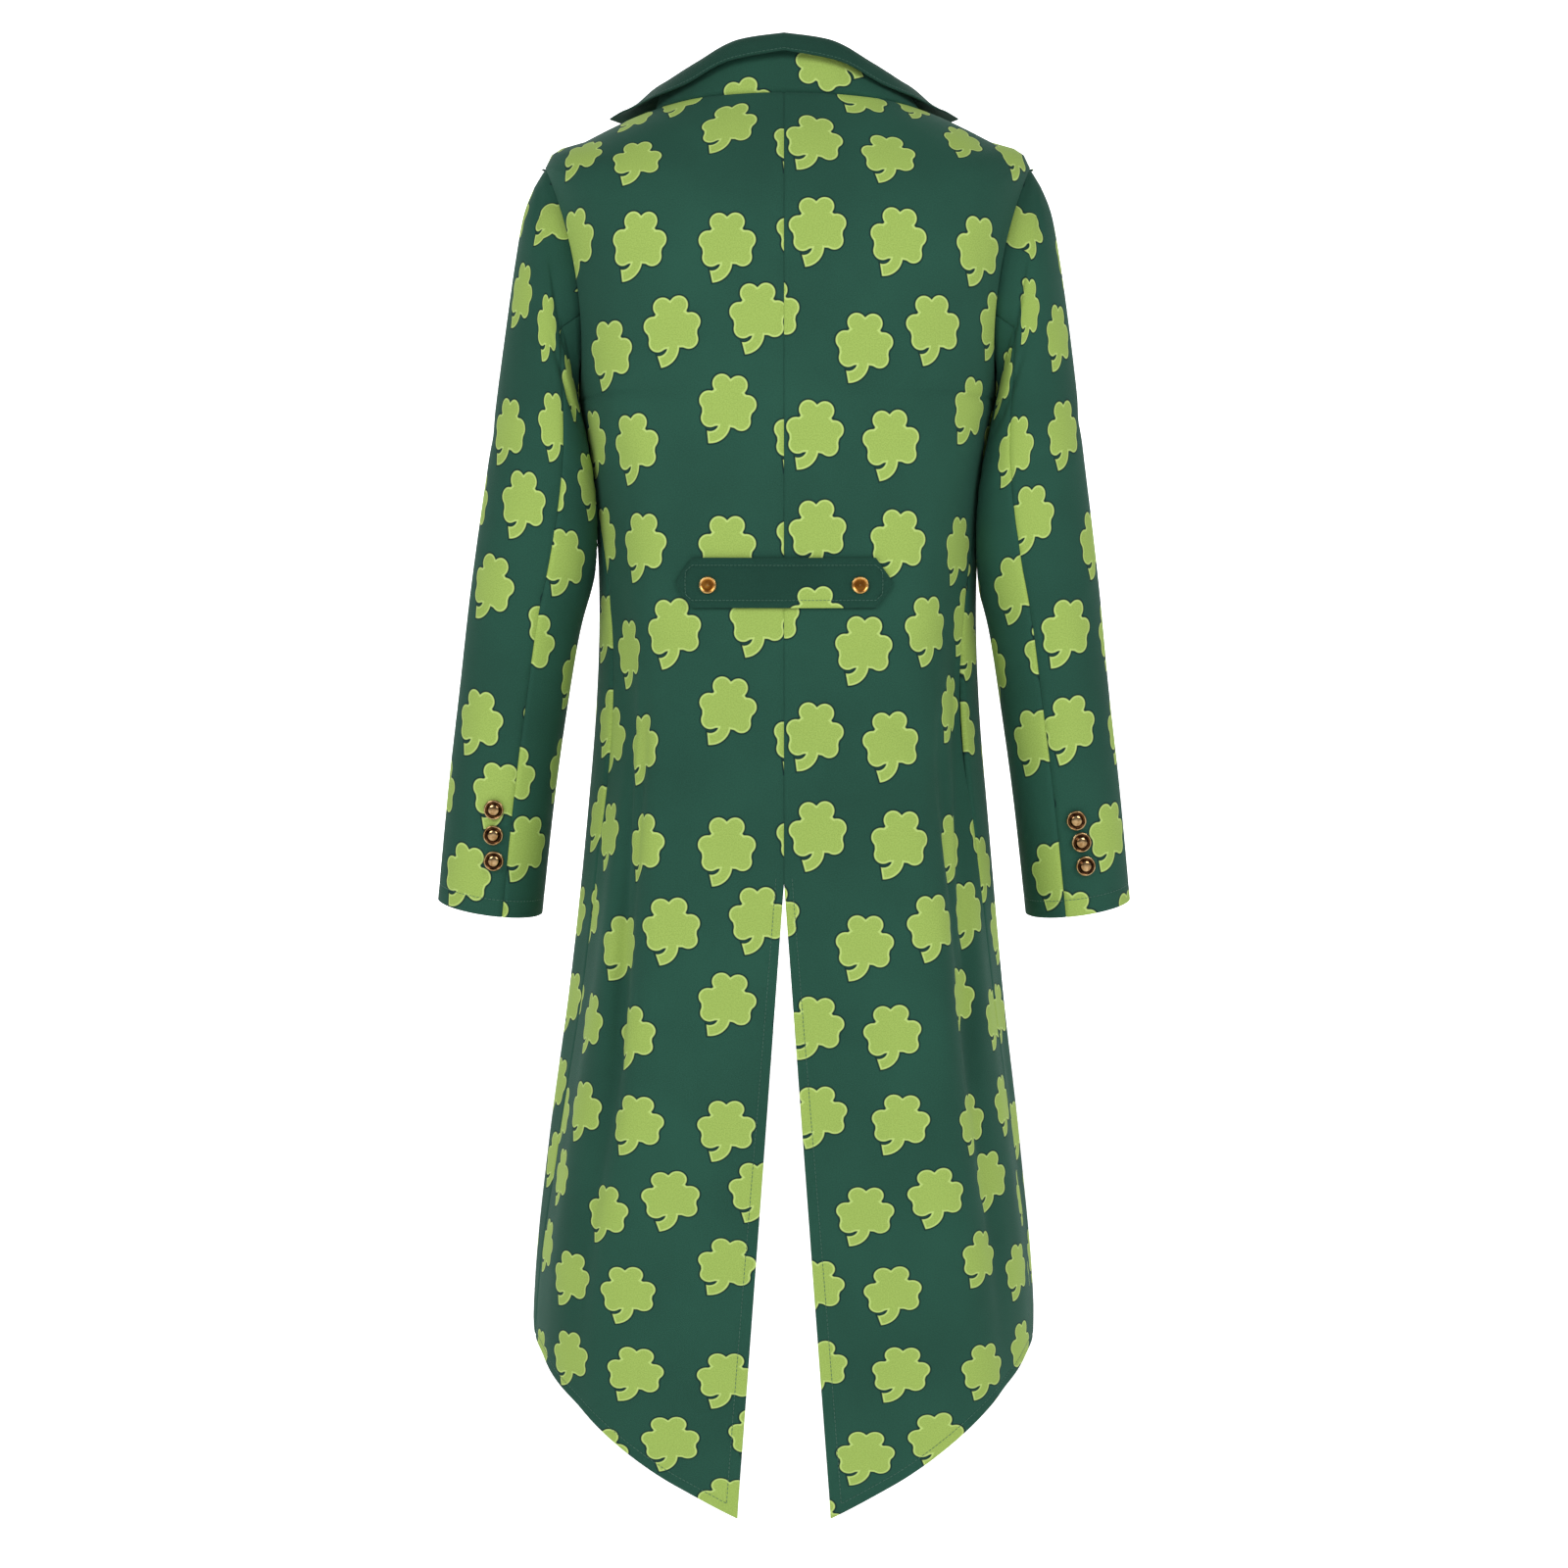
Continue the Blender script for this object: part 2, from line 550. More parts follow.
def panel(side, is_front, down_counts, across_count):
    """A body panel's grid. Its rows go from the neck by the shoulder, armhole and chest levels to the waist, then by
    shares of the skirt to the hem; its columns go from the inner edge to the shoulder, armhole and side seam. Gives
    the levels, turns and points, and the distances from each edge."""
    yoke, arm, chest, skirt = down_counts
    ring = np.linspace(0, 180, arm + 1)
    levels = np.concatenate([
        EDGE / YOKE_LEVEL, np.linspace(EDGE[-1] / YOKE_LEVEL, SHOULDER, yoke + 1)[1:-1],
        SHOULDER + ring / 90, np.linspace(UNDERARM, WAIST, chest + 1)[1:],
    ])
    first = len(EDGE) + yoke - 1
    beside, inside = slice(first, first + arm + 1), slice(first + 1, first + arm)
    seam = np.where(levels <= UNDERARM, 2, look_up(SIDE_SEAM, through(BODY[:, 1], levels))[..., 0])
    if is_front:
        out = ROLL_OUT - ROLL_FALL * np.minimum(1, levels / BREAK_LEVEL)
        inner = solve(lambda turn: side * body(side, levels, turn)[..., 0], out, 2, LAST_TURN)
        past = np.where(levels > BREAK_LEVEL + 0.05, overlap_turn(levels), 0)
        past = past * smooth((levels - BREAK_LEVEL) / 0.12)
    else:
        inner = past = np.zeros_like(levels)
    end_level, end_turn = levels.copy(), seam.copy()
    edge_point = armhole(side, (-1 if is_front else 1) * ring, -0.15)
    end_level[inside], end_turn[inside] = place_at(side, side * edge_point[1:-1, 0], edge_point[1:-1, 2], is_front)
    coarse = body(side, levels[:, None], inner[:, None] + (seam - inner)[:, None] * np.linspace(0, 1, 25))
    width = lengths(coarse, 1)[:, -1:] + past[:, None] * FRONT_TURN
    share = spread(width, across_count) / width
    turn = inner[:, None] + (seam - inner)[:, None] * share + past[:, None] * (1 - share) ** 3
    level = levels[:, None] + (end_level - levels)[:, None] * share**2
    turn = turn + (end_turn - seam)[:, None] * share**2
    shift = np.zeros((*share.shape, 3))
    gap = edge_point - outer(side, end_level[beside], end_turn[beside])
    shift[beside] = gap[:, None] * share[beside, :, None] ** 2
    # The skirt: its last rows keep their distances square from the hem.
    share = share[-1]
    reach = np.concatenate([np.linspace(0, 1, skirt + 1)[1:], np.ones(len(EDGE) - 1)])[:, None]
    rise = np.concatenate([np.full(skirt, EDGE[-1]), EDGE[-2::-1]])[:, None]
    turns = np.broadcast_to(inner[-1] + (seam[-1] - inner[-1]) * share, (len(reach), len(share)))
    # Where a column stands depends on the hem's height there, and the other way round, so six rounds settle both.
    for _ in range(6):
        slope = (look_up(HEM, turns + 0.02)[..., 0] - look_up(HEM, turns - 0.02)[..., 0]) / 0.04 / HEM_TURN
        foot = look_up(HEM, np.clip(turns, 0, 4.5))[..., 0] + rise * np.minimum(4, np.hypot(1, slope))
        z = WAIST_Z + (foot - WAIST_Z) * reach
        row_z = z[:, :1] if is_front else WAIST_Z + (TIP_Z + rise - WAIST_Z) * reach
        row_level = level_at(row_z)
        if is_front:
            at_waist = np.full_like(row_level, WAIST)
            start = solve(lambda t: side * body(side, at_waist, t)[..., 0], ROLL_OUT - ROLL_FALL, 2, LAST_TURN)
            more = overlap_turn(float(WAIST))
        else:
            opening = np.maximum(0, VENT_HALF_FOOT * (VENT_TOP_Z - row_z) / (VENT_TOP_Z - TIP_Z))
            start = solve(lambda t: side * body(side, row_level, t)[..., 0], opening, 0, 2)
            more = 0
        turns = start + (look_up(SIDE_SEAM, np.maximum(z, -1100))[..., 0] - start) * share + more * (1 - share) ** 3
    level = np.concatenate([level, level_at(z)])
    turn = np.concatenate([turn, turns])
    shift = np.concatenate([shift, np.zeros((*z.shape, 3))])
    base = outer(side, level, turn) + shift
    run_across, run_down = lengths(base, 1), lengths(base, 0)
    from_hem = np.broadcast_to(rise, z.shape) + (1 - reach) * FAR / 2
    return {
        "level": level,
        "turn": turn,
        "base": base,
        "from_inner": run_across,
        "from_seam": run_across[:, -1:] - run_across,
        "from_neck": run_down,
        "from_hem": np.pad(from_hem, ((len(level) - len(rise), 0), (0, 0)), constant_values=FAR),
    }


STITCH_LONG, STITCH_WIDE, STITCH_PROUD, STITCH_LIFT = 2.7, 0.55, 0.28, 0.1


def stitches(name, line, ways, pitch=3.4):
    """A row of sewing: along a line on the cloth, each stitch is a low six-sided bead, longer than it is wide, laid
    along the line with its back in the cloth."""
    run = lengths(line, 0)
    count = int(run[-1] // pitch)
    middle = (np.arange(count) + 0.5) * run[-1] / count
    at = lambda values: np.stack([np.interp(middle, run, values[:, k]) for k in range(3)], -1)
    centre, up = at(line), at(ways)
    along = at(np.gradient(line, axis=0))
    along /= np.linalg.norm(along, axis=1, keepdims=True)
    up /= np.linalg.norm(up, axis=1, keepdims=True)
    over = np.cross(along, up)
    ring = np.radians(np.arange(0, 360, 60))
    hoops = [(f, w * np.cos(r), w * np.sin(r)) for f, w in ((-0.34, 0.8), (0, 1), (0.34, 0.8)) for r in ring]
    spots = np.array([(-0.5, 0, 0), *hoops, (0.5, 0, 0)])
    points = (
        centre[:, None]
        + along[:, None] * spots[:, :1] * STITCH_LONG
        + over[:, None] * spots[:, 1:2] * STITCH_WIDE / 2
        + up[:, None] * (spots[:, 2:] * STITCH_PROUD + STITCH_LIFT)
    )
    k = np.arange(6)
    after = (k + 1) % 6
    caps = np.concatenate([np.stack([0 * k, 1 + after, 1 + k], -1), np.stack([0 * k + 19, 13 + k, 13 + after], -1)])
    sides = np.concatenate([
        np.stack([1 + s * 6 + k, 1 + s * 6 + after, 7 + s * 6 + after, 7 + s * 6 + k], -1) for s in (0, 1)
    ])
    start = (np.arange(count) * len(spots))[:, None, None]
    faces = (caps + start).reshape(-1, 3).tolist() + (sides + start).reshape(-1, 4).tolist()
    piece = add(name, smooth_mesh(name, points.reshape(-1, 3), faces, [green_thread]))
    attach(piece, "root")
    return piece


# The thread: a twisted strand, with the twist in its relief and tone.
thread_tone = colour(58, 104, 86)
green_thread, tree, shader = start_material("green_thread", {"Roughness": 0.7, "Sheen Weight": 0.2})
twist = noise(tree, object_place(tree), 1500)
tone = mixed(tree, "RGBA", band(tree, twist, 0.35, 0.65), toned(thread_tone, 0.7), thread_tone)
tree.links.new(tone, shader.inputs["Base Color"])
relief(tree, shader, twist, 0.6, 0.0001)

# The creases of each back, as seen from behind: from and to, out from the middle and up, width and depth. The first is
# the deep one of the skirt's main fold, and the last ones are low ridges.
BACK_CREASES = {
    1: [
        (128, -440, 141, -900, 7, 8.5), (150, -440, 158, -640, 8, 3.0), (150, -215, 92, -318, 9, 1.9),
        (160, -262, 112, -372, 8, 1.6), (52, -56, 128, -62, 11, 1.3), (30, -474, 150, -450, 8, 1.5),
        (84, -500, 146, -560, 9, 1.7), (60, -640, 96, -1010, 16, 2.6), (22, -120, 30, -330, 14, 1.1),
        (104, -560, 112, -900, 12, -2.4), (120, -150, 104, -250, 14, -1.4),
    ],
    -1: [
        (147, -430, 157, -860, 7, 8.5), (128, -520, 122, -760, 9, 2.2), (146, -205, 86, -304, 9, 1.8),
        (157, -270, 106, -366, 9, 1.7), (50, -52, 122, -60, 11, 1.2), (44, -480, 150, -456, 8, 1.4),
        (72, -512, 140, -586, 9, 1.6), (70, -700, 104, -1040, 17, 2.4), (34, -140, 26, -350, 14, 1.0),
        (126, -600, 134, -900, 11, -2.2), (118, -160, 100, -262, 14, -1.3),
    ],
}
SEAM_GAP = 0.12

for side, hand in SIDES:
    back = panel(side, False, (12, 36, 24, 96), 66)
    base = back["base"]
    above_vent = smooth((base[..., 2] - VENT_TOP_Z + 4) / 8)
    base[..., 0] += side * sink(back["from_inner"], 1.0, SEAM_GAP)
    out = ways_out(base, side < 0)
    dip = (
        sink(back["from_inner"], 1.7, 0.9) * above_vent
        + sink(back["from_inner"] - EDGE[SEWN], 1.3, 0.3) * (1 - above_vent)
        + sink(back["from_seam"], 1.8, 0.9)
        + sink(back["from_neck"], 2.2, 0.9)
        + sink(back["from_hem"] - EDGE[SEWN], 1.3, 0.3)
        + troughs(BACK_CREASES[side], np.abs(base[..., 0]), base[..., 2])
    )
    face = base - out * dip[..., None]
    run = body_run(side, back["level"], back["turn"])
    moved = np.array([10, 2]) if side > 0 else np.zeros(2)
    print_run = np.stack([-side * run[..., 0], -down_print(run)], -1) + moved
    piece = cloth(f"back_{hand}", face, print_run, side < 0, [printed_cloth, wrong_side])
    hem_row = len(face) - 1 - SEWN
    vent = slice(int(np.argmax(face[:, 0, 2] < VENT_TOP_Z)), hem_row + 1)
    hem_seam = stitches(f"back_{hand}_hem_stitches", face[hem_row, SEWN:], out[hem_row, SEWN:])
    vent_seam = stitches(f"back_{hand}_vent_stitches", face[vent, SEWN], out[vent, SEWN])


# The two fronts, of the same printed cloth. Each runs from the shoulder to the cutaway hem; the left one closes over
# the right one below the break of the lapels. Nothing of them shows in the photograph but their edges.
TUCK_ON, TUCK_IN = 2, 1.7


def tuck_in(face, out, edge, beside):
    """Moves the edge column of a grid on past its seam and in behind the cloth that it meets."""
    along = face[:, edge] - face[:, beside]
    face[:, edge] += along / np.linalg.norm(along, axis=-1, keepdims=True) * TUCK_ON - out[:, edge] * TUCK_IN


for side, hand in SIDES:
    front = panel(side, True, (12, 36, 20, 64), 32)
    out = ways_out(front["base"], side > 0)
    dip = (
        sink(front["from_seam"], 1.8, 0.9)
        + sink(front["from_inner"] - EDGE[SEWN], 1.3, 0.3) * (front["level"] > BREAK_LEVEL)
        + sink(front["from_hem"] - EDGE[SEWN], 1.3, 0.3)
    )
    face = front["base"] - out * dip[..., None]
    tuck_in(face, out, -1, -2)
    run = body_run(side, front["level"], front["turn"])
    middle = body_run(side, front["level"], np.full_like(front["turn"], 4.0))
    across = side * (middle[..., 0] - run[..., 0]) + 31
    print_run = np.stack([across, -down_print(run) - 20 * side], -1)
    piece = cloth(f"front_{hand}", face, print_run, side > 0, [printed_cloth, wrong_side])
    hem_row = len(face) - 1 - SEWN
    closing = slice(int(np.argmax(front["level"][:, 0] > BREAK_LEVEL + 0.1)), hem_row + 1)
    hem_seam = stitches(f"front_{hand}_hem_stitches", face[hem_row, SEWN:], out[hem_row, SEWN:])
    edge_seam = stitches(f"front_{hand}_edge_stitches", face[closing, SEWN], out[closing, SEWN])


# The lapels, of plain dark green cloth. Each lies on the chest from its roll line, where it turns out softly, to its
# peaked edge, and ends at the break above the top button. None of it shows in the photograph.
LAPEL_EDGE = np.array([[138, -74], [129, -116], [108, -164], [70, -214], [14, -264]])
LAPEL_TOP, LAPEL_FOOT, LAPEL_WIDE, LAPEL_LONG = -62, -259, 90, 190
LAID_HEIGHT = 0.9 + 2  # a gap and the wall of the piece's solid
plain_cloth = cloth_material("plain_cloth", colour(24, 62, 50), roughness=0.74, sheen=0.12)


def laid(side, out, z, is_front, height):
    """Points a height off the front or back of the coat, seen at a distance out from the middle and a height."""
    level, turn = place_at(side, out, z, is_front)
    base = outer(side, level, turn)
    small = 0.01
    across = outer(side, level, turn + small) - outer(side, level, turn - small)
    down = outer(side, level + small, turn) - outer(side, level - small, turn)
    way = np.cross(across, down) * side
    way /= np.linalg.norm(way, axis=-1, keepdims=True)
    return base + way * np.asarray(height)[..., None]


def flat_run(face):
    """The map of a small piece: lengths of cloth from its first corner."""
    return np.stack([lengths(face, 1), -lengths(face, 0)], -1)


for side, hand in SIDES:
    share = np.concatenate([np.linspace(0, 1, 26)[:-1] * 0.88, 1 - EDGE[::-1] / LAPEL_WIDE])[None]
    down = np.concatenate([EDGE / LAPEL_LONG, np.linspace(0.06, 0.98, 48), [0.99, 1]])[:, None]
    edge = through(LAPEL_EDGE, down[:, 0] * (len(LAPEL_EDGE) - 1))[:, None]
    z = LAPEL_TOP + (LAPEL_FOOT - LAPEL_TOP) * down
    level, _ = place_at(side, np.full_like(z, 60), z, True)
    roll_out = ROLL_OUT + 1 - ROLL_FALL * np.minimum(1, level / BREAK_LEVEL)
    out_at = roll_out + (edge[..., 0] - roll_out) * share
    z_at = z + (edge[..., 1] - z) * share
    puff = 16 * (1 - share) ** 2 * (1 - down) * share
    face = laid(side, out_at, z_at, True, LAID_HEIGHT + puff)
    out = ways_out(face, side > 0)
    face = face - out * sink((1 - share) * LAPEL_WIDE - EDGE[SEWN], 1.2, 0.25)[..., None]
    piece = cloth(f"lapel_{hand}", face, flat_run(face), side > 0, [plain_cloth])
    seam = stitches(f"lapel_{hand}_stitches", face[4:-3, -1 - SEWN], out[4:-3, -1 - SEWN])


# The sleeves, of the printed cloth, each sewn from a wide upper and a narrow under piece. They hang a little forward
# of the sides, bent at the elbow, with a turned-up hem at the cuff and three domed buttons beside the back seam.
SLEEVE = np.array([
    # outer point, inner point, how far back, half depth, dip of the back
    [217, -79, 175, -271, -3, 59, 0],
    [226, -103, 171, -281, -2, 61, 0],
    [233, -142, 166, -297, -1, 62, 0],
    [240, -192, 160, -320, 0, 62, 0],
    [247, -248, 156, -350, 2, 61, 0],
    [254, -308, 158, -384, 3, 59, 0],
    [262, -368, 164.5, -420, 3, 56, 1],
    [270, -432, 175, -460, 1, 54, 2],
    [278.5, -510, 186, -526, -4, 51, 4],
    [288.5, -592, 197.5, -606, -12, 48, 5],
    [298.5, -689, 208.5, -702, -22, 46, 6],
])
BACK_SEAM, FRONT_SEAM = 108, -126
LAST_ROW = 11  # the armhole's ring is row 0, and the table's rows follow from 1
HEAD_ROW, CUFF_ROW = 16, 97  # how long a row is at the head and at the cuff
CUFF_HEM = 20
SLEEVE_RADIUS, CREASE_LENGTH = 50, 80
DEGREES_PER_MM = 180 / math.pi / SLEEVE_RADIUS
ROW_STEPS, RING_STEP = 10, 4  # lines of the sleeve's measuring grid to a row, and degrees between its columns


def side_x(side, y, z):
    """How far out the side of the coat stands at places fore or aft, below the armhole."""
    level = level_at(np.minimum(z, -265))
    turn = solve(lambda turn: body(side, level, turn)[..., 1], y, np.full_like(level, 0.3), np.full_like(level, 4.0))
    reached = (y < body(side, level, 0 * level)[..., 1]) & (y > body(side, level, 0 * level + 4)[..., 1])
    return np.where(reached, side * body(side, level, turn)[..., 0], 0)


def sleeve(side, at, degrees):
    """The sleeve's surface: rings that pass smoothly down the table, starting from the armhole's ring, and kept just
    clear of the coat's side."""
    at, degrees = np.broadcast_arrays(np.asarray(at, float), np.asarray(degrees, float))
    c, s = np.cos(np.radians(degrees)), np.sin(np.radians(degrees))
    seam = armhole(side, degrees, 0.25)
    seam[..., 0] *= side
    row = np.moveaxis(through(SLEEVE, np.maximum(0, at - 1)), -1, 0)
    x = (row[0] + row[2]) / 2 + c * (row[0] - row[2]) / 2
    z = (row[1] + row[3]) / 2 + c * (row[1] - row[3]) / 2 - s * row[6]
    x = x - side * ASKEW * smooth((z - 440 + 1000) / 400)
    point = np.stack([x, row[4] + s * row[5], z], -1)
    point = np.where(at[..., None] < 1, seam + (point - seam) * at[..., None], point)
    clear = np.minimum(4, 0.25 + 0.15 * np.abs(seam[..., 2] - point[..., 2]) + 0.6 * at)
    near = (c < 0.3) & (at > 0) & (point[..., 2] < ARMHOLE_Z - 0.8 * ARMHOLE_HALF_HEIGHT)
    kept = np.maximum(point[..., 0], side_x(side, point[..., 1], point[..., 2]) + clear)
    point[..., 0] = side * np.where(near, kept, point[..., 0])
    return point


CUFF_ROWS = np.array([0, 0.5, 1.3, 2.6, 4.3, 6, 12, 18.4, 20, 21.6, 27])
# How the print lies on each piece: moved across and down, and turned in degrees.
SLEEVE_PRINT = {
    ("upper", 1): (120, 48, 0), ("under", 1): (96, 12, -4),
    ("upper", -1): (108, 30, -4), ("under", -1): (54, 177, 4),
}
# Creases of each sleeve: from and to, each as radians round it from its outer side and crease lengths down it, then
# the width in the same and the depth in millimetres.
SLEEVE_CREASES = {
    1: [
        (1.25, 0.75, 2.05, 2.3, 0.15, 2.0), (0.55, 0.5, 0.85, 2.0, 0.16, 1.5), (1.6, 3.1, 2.4, 4.6, 0.18, 2.4),
        (0.5, 6.9, 2.3, 6.0, 0.16, 2.0), (0.9, 8.2, 2.6, 7.4, 0.15, 1.8), (0.2, 8.9, 1.5, 9.3, 0.18, -1.4),
        (-0.9, 6.2, 0.4, 7.2, 0.2, 1.6), (1.0, 10.6, 1.9, 11.6, 0.2, 1.3), (-1.6, 0.9, -0.7, 2.4, 0.2, 1.8),
        (-2.0, 5.2, -0.9, 6.4, 0.2, 2.0), (2.9, 5.6, 3.6, 7.2, 0.2, 1.8),
    ],
    -1: [
        (1.3, 0.8, 2.1, 2.5, 0.16, 2.1), (0.6, 0.6, 0.95, 2.2, 0.15, 1.4), (1.5, 3.4, 2.3, 4.9, 0.18, 2.2),
        (0.6, 7.2, 2.4, 6.2, 0.15, 2.1), (0.8, 8.6, 2.4, 7.7, 0.16, 1.7), (0.3, 9.2, 1.6, 9.7, 0.18, -1.4),
        (-0.8, 6.0, 0.5, 7.0, 0.2, 1.6), (0.9, 11.0, 1.8, 12.0, 0.2, 1.2), (-1.7, 1.0, -0.8, 2.6, 0.2, 1.7),
        (-2.1, 5.4, -1.0, 6.7, 0.2, 1.9), (3.0, 5.8, 3.7, 7.4, 0.2, 1.8),
    ],
}

for side, hand in SIDES:
    grid = sleeve(
        side, np.linspace(0, LAST_ROW, LAST_ROW * ROW_STEPS + 1)[:, None], np.arange(-180.0, 241.0, RING_STEP)[None]
    )
    across, down = lengths(grid, 1), lengths(grid, 0)
    sleeve_run = np.stack([across - across[:, [180 // RING_STEP]], down - down[-1:]], -1)
    for part, start, end, count in (("upper", FRONT_SEAM, BACK_SEAM, 56), ("under", BACK_SEAM, FRONT_SEAM + 360, 28)):
        # The first two rows are tucked in behind the armhole's edge.
        rows = np.concatenate([
            [-0.36, -0.12], EDGE / HEAD_ROW, np.linspace(0.75, LAST_ROW - 0.35, 110),
            LAST_ROW - CUFF_ROWS[::-1] / CUFF_ROW,
        ])[:, None]
        width = (end - start) / DEGREES_PER_MM
        lines = np.concatenate([EDGE + 0.2, np.linspace(14, width - 14, count), width - 0.2 - EDGE[::-1]])
        degrees = (start + lines * DEGREES_PER_MM)[None]
        base = sleeve(side, rows, degrees)
        out = ways_out(base, side > 0)
        from_seams = np.minimum(lines - lines[0], lines[-1] - lines)[None]
        from_cuff = (LAST_ROW - rows) * CUFF_ROW
        from_head = rows * HEAD_ROW
        # The head's ease: small puckers just past the seam, nine to the whole ring, strongest at its top.
        pucker = (0.5 + 0.5 * np.cos(np.radians(degrees * 9))) * sink(from_head, 12, 1) * smooth(from_head / 3)
        dip = (
            sink(from_seams, 1.8, 0.9)
            + np.where(from_head < 0, 2.7, sink(from_head, 2.2, 1.0))
            + sink(from_cuff - CUFF_HEM, 1.4, 0.3)
            + pucker * 0.7 * smooth((np.cos(np.radians(degrees)) + 0.4))
            + troughs(
                SLEEVE_CREASES[side], np.radians(degrees) + 0 * rows, rows * CUFF_ROW / CREASE_LENGTH + 0 * degrees
            )
        )
        face = base - out * dip[..., None]
        if part == "under":
            tuck_in(face, out, 0, 1)
            tuck_in(face, out, -1, -2)
        spot = read_run(sleeve_run, rows * ROW_STEPS + 0 * degrees, (degrees + 180) / RING_STEP + 0 * rows)
        moved, lower, turned = SLEEVE_PRINT[part, side]
        c, s = math.cos(math.radians(turned)), math.sin(math.radians(turned))
        u, v = side * spot[..., 0], spot[..., 1]
        print_run = np.stack([u * c - v * s + moved, -(u * s + v * c + lower)], -1)
        piece = cloth(f"sleeve_{part}_{hand}", face, print_run, side > 0, [printed_cloth, wrong_side])
        cuff_seam = stitches(f"cuff_{part}_{hand}_stitches", face[-9], out[-9])


# The collar: a printed stand rises from the neck seam, and a plain leaf comes up inside it, rolls over its top and
# falls a little way outside, ending in long points that stand clear of the shoulders.
COLLAR = np.array([
    # turn, the roll's x, y, z, the leaf edge's x, y, z
    [0, 0, 48, 42, 0, 61, 26],
    [0.5, 40, 43, 36.5, 47, 54, 18],
    [1, 70, 29, 22.5, 82, 40, 1.5],
    [1.5, 92, 9, 12, 110, 18, -6],
    [2, 105, -13, 6, 128, -4, -11],
    [2.5, 100, -37, -9, 140, -18, -13],
    [3, 84, -59, -34, 151, -33, -16],
])


def collar_at(turn):
    """The foot, roll, leaf edge and the way out of the collar, at turns from its right end by the back to its left."""
    side, at = np.where(turn < 0, -1.0, 1.0), np.abs(turn)
    foot = np.where(turn[..., None] < 0, body(-1, NECK, at), body(1, NECK, at))
    six = look_up(COLLAR, at)
    six[..., [0, 3]] *= side[..., None]
    out = np.stack([foot[..., 0], (foot[..., 1] - 3) * 1.6, 0 * at], -1)
    return foot, six[..., :3], six[..., 3:], out / np.linalg.norm(out, axis=-1, keepdims=True)


# Its print: a shamrock lying on its side, and the top of one that the neck seam cuts.
STAND_SHAMROCKS = [(39.6, -28.3, -101), (-31.4, 13.6, -15)]
STAND_HEIGHT, LEAF_LENGTH = 52, 160  # along the cloth, from the neck seam over the roll
ROLL_HALF = 4.6  # half the thickness of the cloth's roll
stand_cloth = cloth_material("stand_cloth", colour(33, 74, 60), STAND_SHAMROCKS)
turns = np.linspace(-3, 3, 121)
foot, roll, edge, out_way = collar_at(turns)
share = np.concatenate([EDGE / STAND_HEIGHT, np.linspace(0.24, 1, 14)])[:, None, None]
low = foot - np.array([0, 0, 1.6])
face = low + (roll - np.array([0, 0, 3.6]) - low) * share
out = ways_out(face, True)
face = face + out * (2 - sink(share[..., 0] * STAND_HEIGHT, 3.0, 3.9))[..., None]
run = lengths(face, 1)
run = np.stack([run[:, 60:61] - run, lengths(face, 0)], -1)
piece = cloth("collar_stand", face, run, True, [stand_cloth, wrong_side])

inside = out_way * 5.2
lift = np.array([0, 0, 1.0])
line = np.stack([
    foot - inside + lift * 2,
    (foot + roll) / 2 - inside,
    roll - (out_way + lift) * ROLL_HALF,
    roll,
    (roll + out_way * ROLL_HALF) * 0.7 + edge * 0.3,
    edge,
])
share = np.concatenate([np.linspace(0, 1, 40)[:-1] * 0.94, 1 - EDGE[::-1] / LEAF_LENGTH])
face = through(line, share * (len(line) - 1))
out = ways_out(face, False)
face = face + out * 2
piece = cloth("collar_leaf", face, flat_run(face), False, [plain_cloth])
seam = stitches("collar_leaf_stitches", face[-1 - SEWN], out[-1 - SEWN])


# The half belt: a strip of the printed cloth with pointed ends, laid flat across the back waist over the middle seam,
# stitched all round a little inside its edge, and held by a button at each end.
BELT_Z, BELT_HALF, BELT_HALF_HEIGHT, BELT_POINT, BELT_TIP = -422, 89, 20.7, 13, 2
BELT_SHAMROCKS = [(27, 32, -3)]
belt_cloth = cloth_material("belt_cloth", colour(26, 64, 52), BELT_SHAMROCKS)
x = np.concatenate([BELT_HALF - EDGE * 1.3, np.linspace(75, -75, 70), -BELT_HALF + EDGE[::-1] * 1.3])
half = BELT_TIP + (BELT_HALF_HEIGHT - BELT_TIP) * np.minimum(1, (BELT_HALF - np.abs(x)) / BELT_POINT)
edge = EDGE / BELT_HALF_HEIGHT
fraction = np.concatenate([1 - edge, [0.35, 0.15, 0, -0.15, -0.35], edge[::-1] - 1])[:, None]
z = BELT_Z + half * fraction
from_edge = np.minimum((1 - np.abs(fraction)) * half, (BELT_HALF - np.abs(x)) * 1.4)
rise = LAID_HEIGHT + 1.2 * smooth(from_edge / 4) + 0.9 * smooth((from_edge - 6) / 5)
parts = [laid(side, np.abs(x[None] + 0 * z), z, False, rise) for side in (1, -1)]
face = np.where((x >= 0)[None, :, None], parts[0], parts[1])
out = ways_out(face, True)
face = face - out * sink(from_edge - 5.8, 1.1, 0.9)[..., None]
run = np.stack([-x[None] + 0 * z, z - BELT_Z], -1)
piece = cloth("back_belt", face, run, True, [belt_cloth, wrong_side])
ring, ring_out = (perimeter(grid[SEWN:-SEWN, SEWN:-SEWN]) for grid in (face, out))
ring, ring_out = np.concatenate([ring, ring[:1]]), np.concatenate([ring_out, ring_out[:1]])
seam = stitches("back_belt_stitches", ring, ring_out, pitch=3.2)


# The buttons, of pressed and plated metal with a shank behind. The two on the belt are flat and reddish; those of the
# cuffs and the front are domed and antiqued, dark in the ring round the dome and bright on the rim.
BUTTON_RISE = 5.0


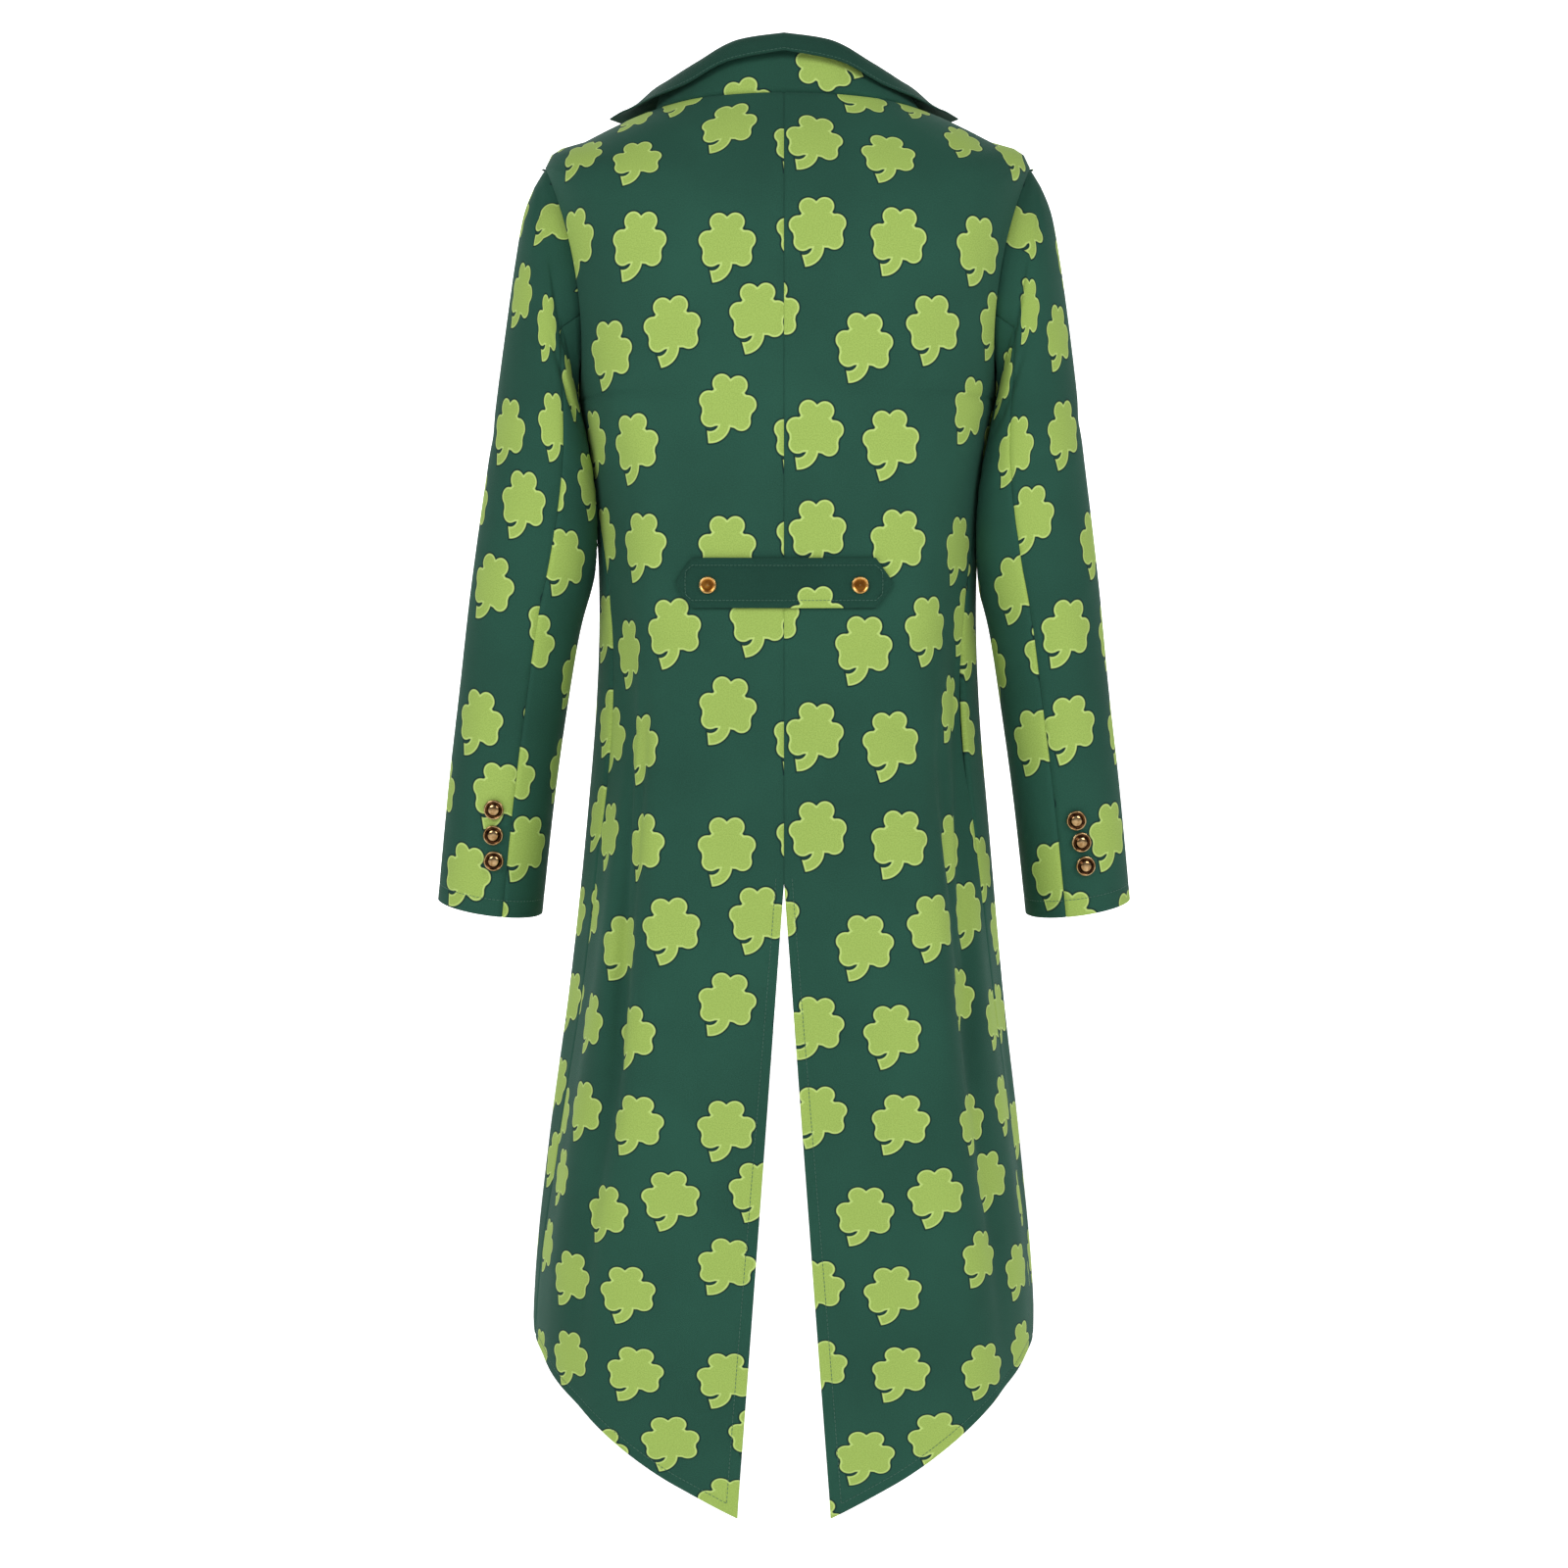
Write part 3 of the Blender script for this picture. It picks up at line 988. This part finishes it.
def button(node, radius, profile, place, way, materials, recess):
    """A shape turned about the way out of the cloth: its outline's radii are shares of the button's, and its heights
    are shares of its rise above the cloth. The recess is the run of its outline that has the second material."""
    outline = np.array(profile)
    around = np.radians(np.arange(0, 360, 7.5))
    way = way / np.linalg.norm(way)
    side_way = np.cross(way, (0, 0, 1.0))
    side_way /= np.linalg.norm(side_way)
    up_way = np.cross(side_way, way)
    r, h = outline[:, :1] * radius, outline[:, 1:] * BUTTON_RISE
    points = (
        place
        + (r * np.cos(around))[..., None] * side_way
        + (r * np.sin(around))[..., None] * up_way
        + np.broadcast_to(h, (len(r), len(around)))[..., None] * way
    )
    n = len(around)
    number = np.arange(len(r) * n).reshape(len(r), n)
    after = np.roll(number, -1, 1)
    quads = np.stack([number[:-1], number[1:], after[1:], after[:-1]], -1).reshape(-1, 4)
    ends = np.stack([place + way * h[0], place + way * h[-1]])
    low, high = len(r) * n, len(r) * n + 1
    caps = np.concatenate([
        np.stack([number[0], after[0], np.full(n, low)], -1), np.stack([after[-1], number[-1], np.full(n, high)], -1)
    ])
    ring = np.minimum(np.arange(len(quads) + len(caps)) // n, len(r))
    which = (ring >= recess[0]) & (ring < recess[1])
    points = np.concatenate([points.reshape(-1, 3), ends])
    name = f"{node}_metal"
    piece = add(name, smooth_mesh(name, points, quads.tolist() + caps.tolist(), materials, which))
    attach(piece, "root")
    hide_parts(node)


def metal(name, bright, dark, roughness):
    """Plated metal: a bright tone worn into a dark one by soft clouds, with fine scratches in its relief."""
    material, tree, shader = start_material(name, {"Metallic": 1})
    cloud = noise(tree, object_place(tree), 240, 3)
    tree.links.new(mixed(tree, "RGBA", band(tree, cloud, 0.3, 0.75), dark, bright), shader.inputs["Base Color"])
    tree.links.new(maths(tree, "MULTIPLY_ADD", cloud, 0.1, roughness), shader.inputs["Roughness"])
    relief(tree, shader, cloud, 0.12, 0.00005)
    return material


belt_metals = [
    metal("belt_button", colour(226, 184, 118), colour(204, 150, 84), 0.2),
    metal("belt_button_dish", colour(196, 134, 58), colour(150, 92, 34), 0.26),
]
dome_metals = [
    metal("domed_button", colour(196, 166, 122), colour(140, 106, 66), 0.1),
    metal("domed_button_recess", colour(88, 56, 30), colour(44, 26, 16), 0.16),
]
# The buttons' outlines, from the shank to the middle of the face: shares of the radius and of the rise.
FLAT_FACE = [
    (0.3, 0.06), (0.3, 0.4), (0.86, 0.42), (0.97, 0.5), (1, 0.66), (0.97, 0.84), (0.9, 0.92), (0.82, 0.9),
    (0.76, 0.8), (0.6, 0.78), (0.3, 0.8), (0.1, 0.82),
]
DOMED = [
    (0.27, 0.06), (0.27, 0.3), (0.8, 0.3), (0.95, 0.38), (1, 0.48), (0.98, 0.6), (0.92, 0.68), (0.85, 0.66),
    (0.79, 0.56), (0.72, 0.52), (0.66, 0.58), (0.6, 0.7), (0.5, 0.84), (0.36, 0.94), (0.18, 0.99),
]
DISH, RING = (8, 12), (7, 12)  # the runs of the two outlines that lie lower
BELT_BUTTON_OUT, BELT_BUTTON_Z = 63.0, -424.0
FRONT_BUTTONS = (-300.0, -360.0, -420.0)
# The cuffs' buttons: row down the sleeve and degrees round it.
CUFF_BUTTONS = {1: [(10.08, 88), (10.28, 90), (10.47, 93)], -1: [(10.17, 87), (10.34, 84), (10.52, 82)]}


def laid_point(side, out, z, is_front, height):
    """One point a height off the coat."""
    return laid(side, np.full((1, 1), out), np.full((1, 1), z), is_front, np.full((1, 1), height))[0, 0]


for side, hand in SIDES:
    low, high = (laid_point(side, BELT_BUTTON_OUT, BELT_BUTTON_Z, False, h) for h in (2.9, 4.9))
    button(f"belt_button_{hand}", 7.2, FLAT_FACE, low, high - low, belt_metals, DISH)
    for k, (at, degrees) in enumerate(CUFF_BUTTONS[side], 1):
        patch = sleeve(side, np.array([at - 0.02, at, at + 0.02])[:, None], degrees + np.array([-1.0, 0, 1])[None])
        way = ways_out(patch, side > 0)[1, 1]
        button(f"cuff_button_{hand}_{k}", 8.5, DOMED, patch[1, 1], way, dome_metals, RING)
for k, z in enumerate(FRONT_BUTTONS, 1):
    low, high = (laid_point(1, 0.0, z, True, h) for h in (0.0, 2.0))
    button(f"front_button_{k}", 9, DOMED, low, high - low, dome_metals, RING)
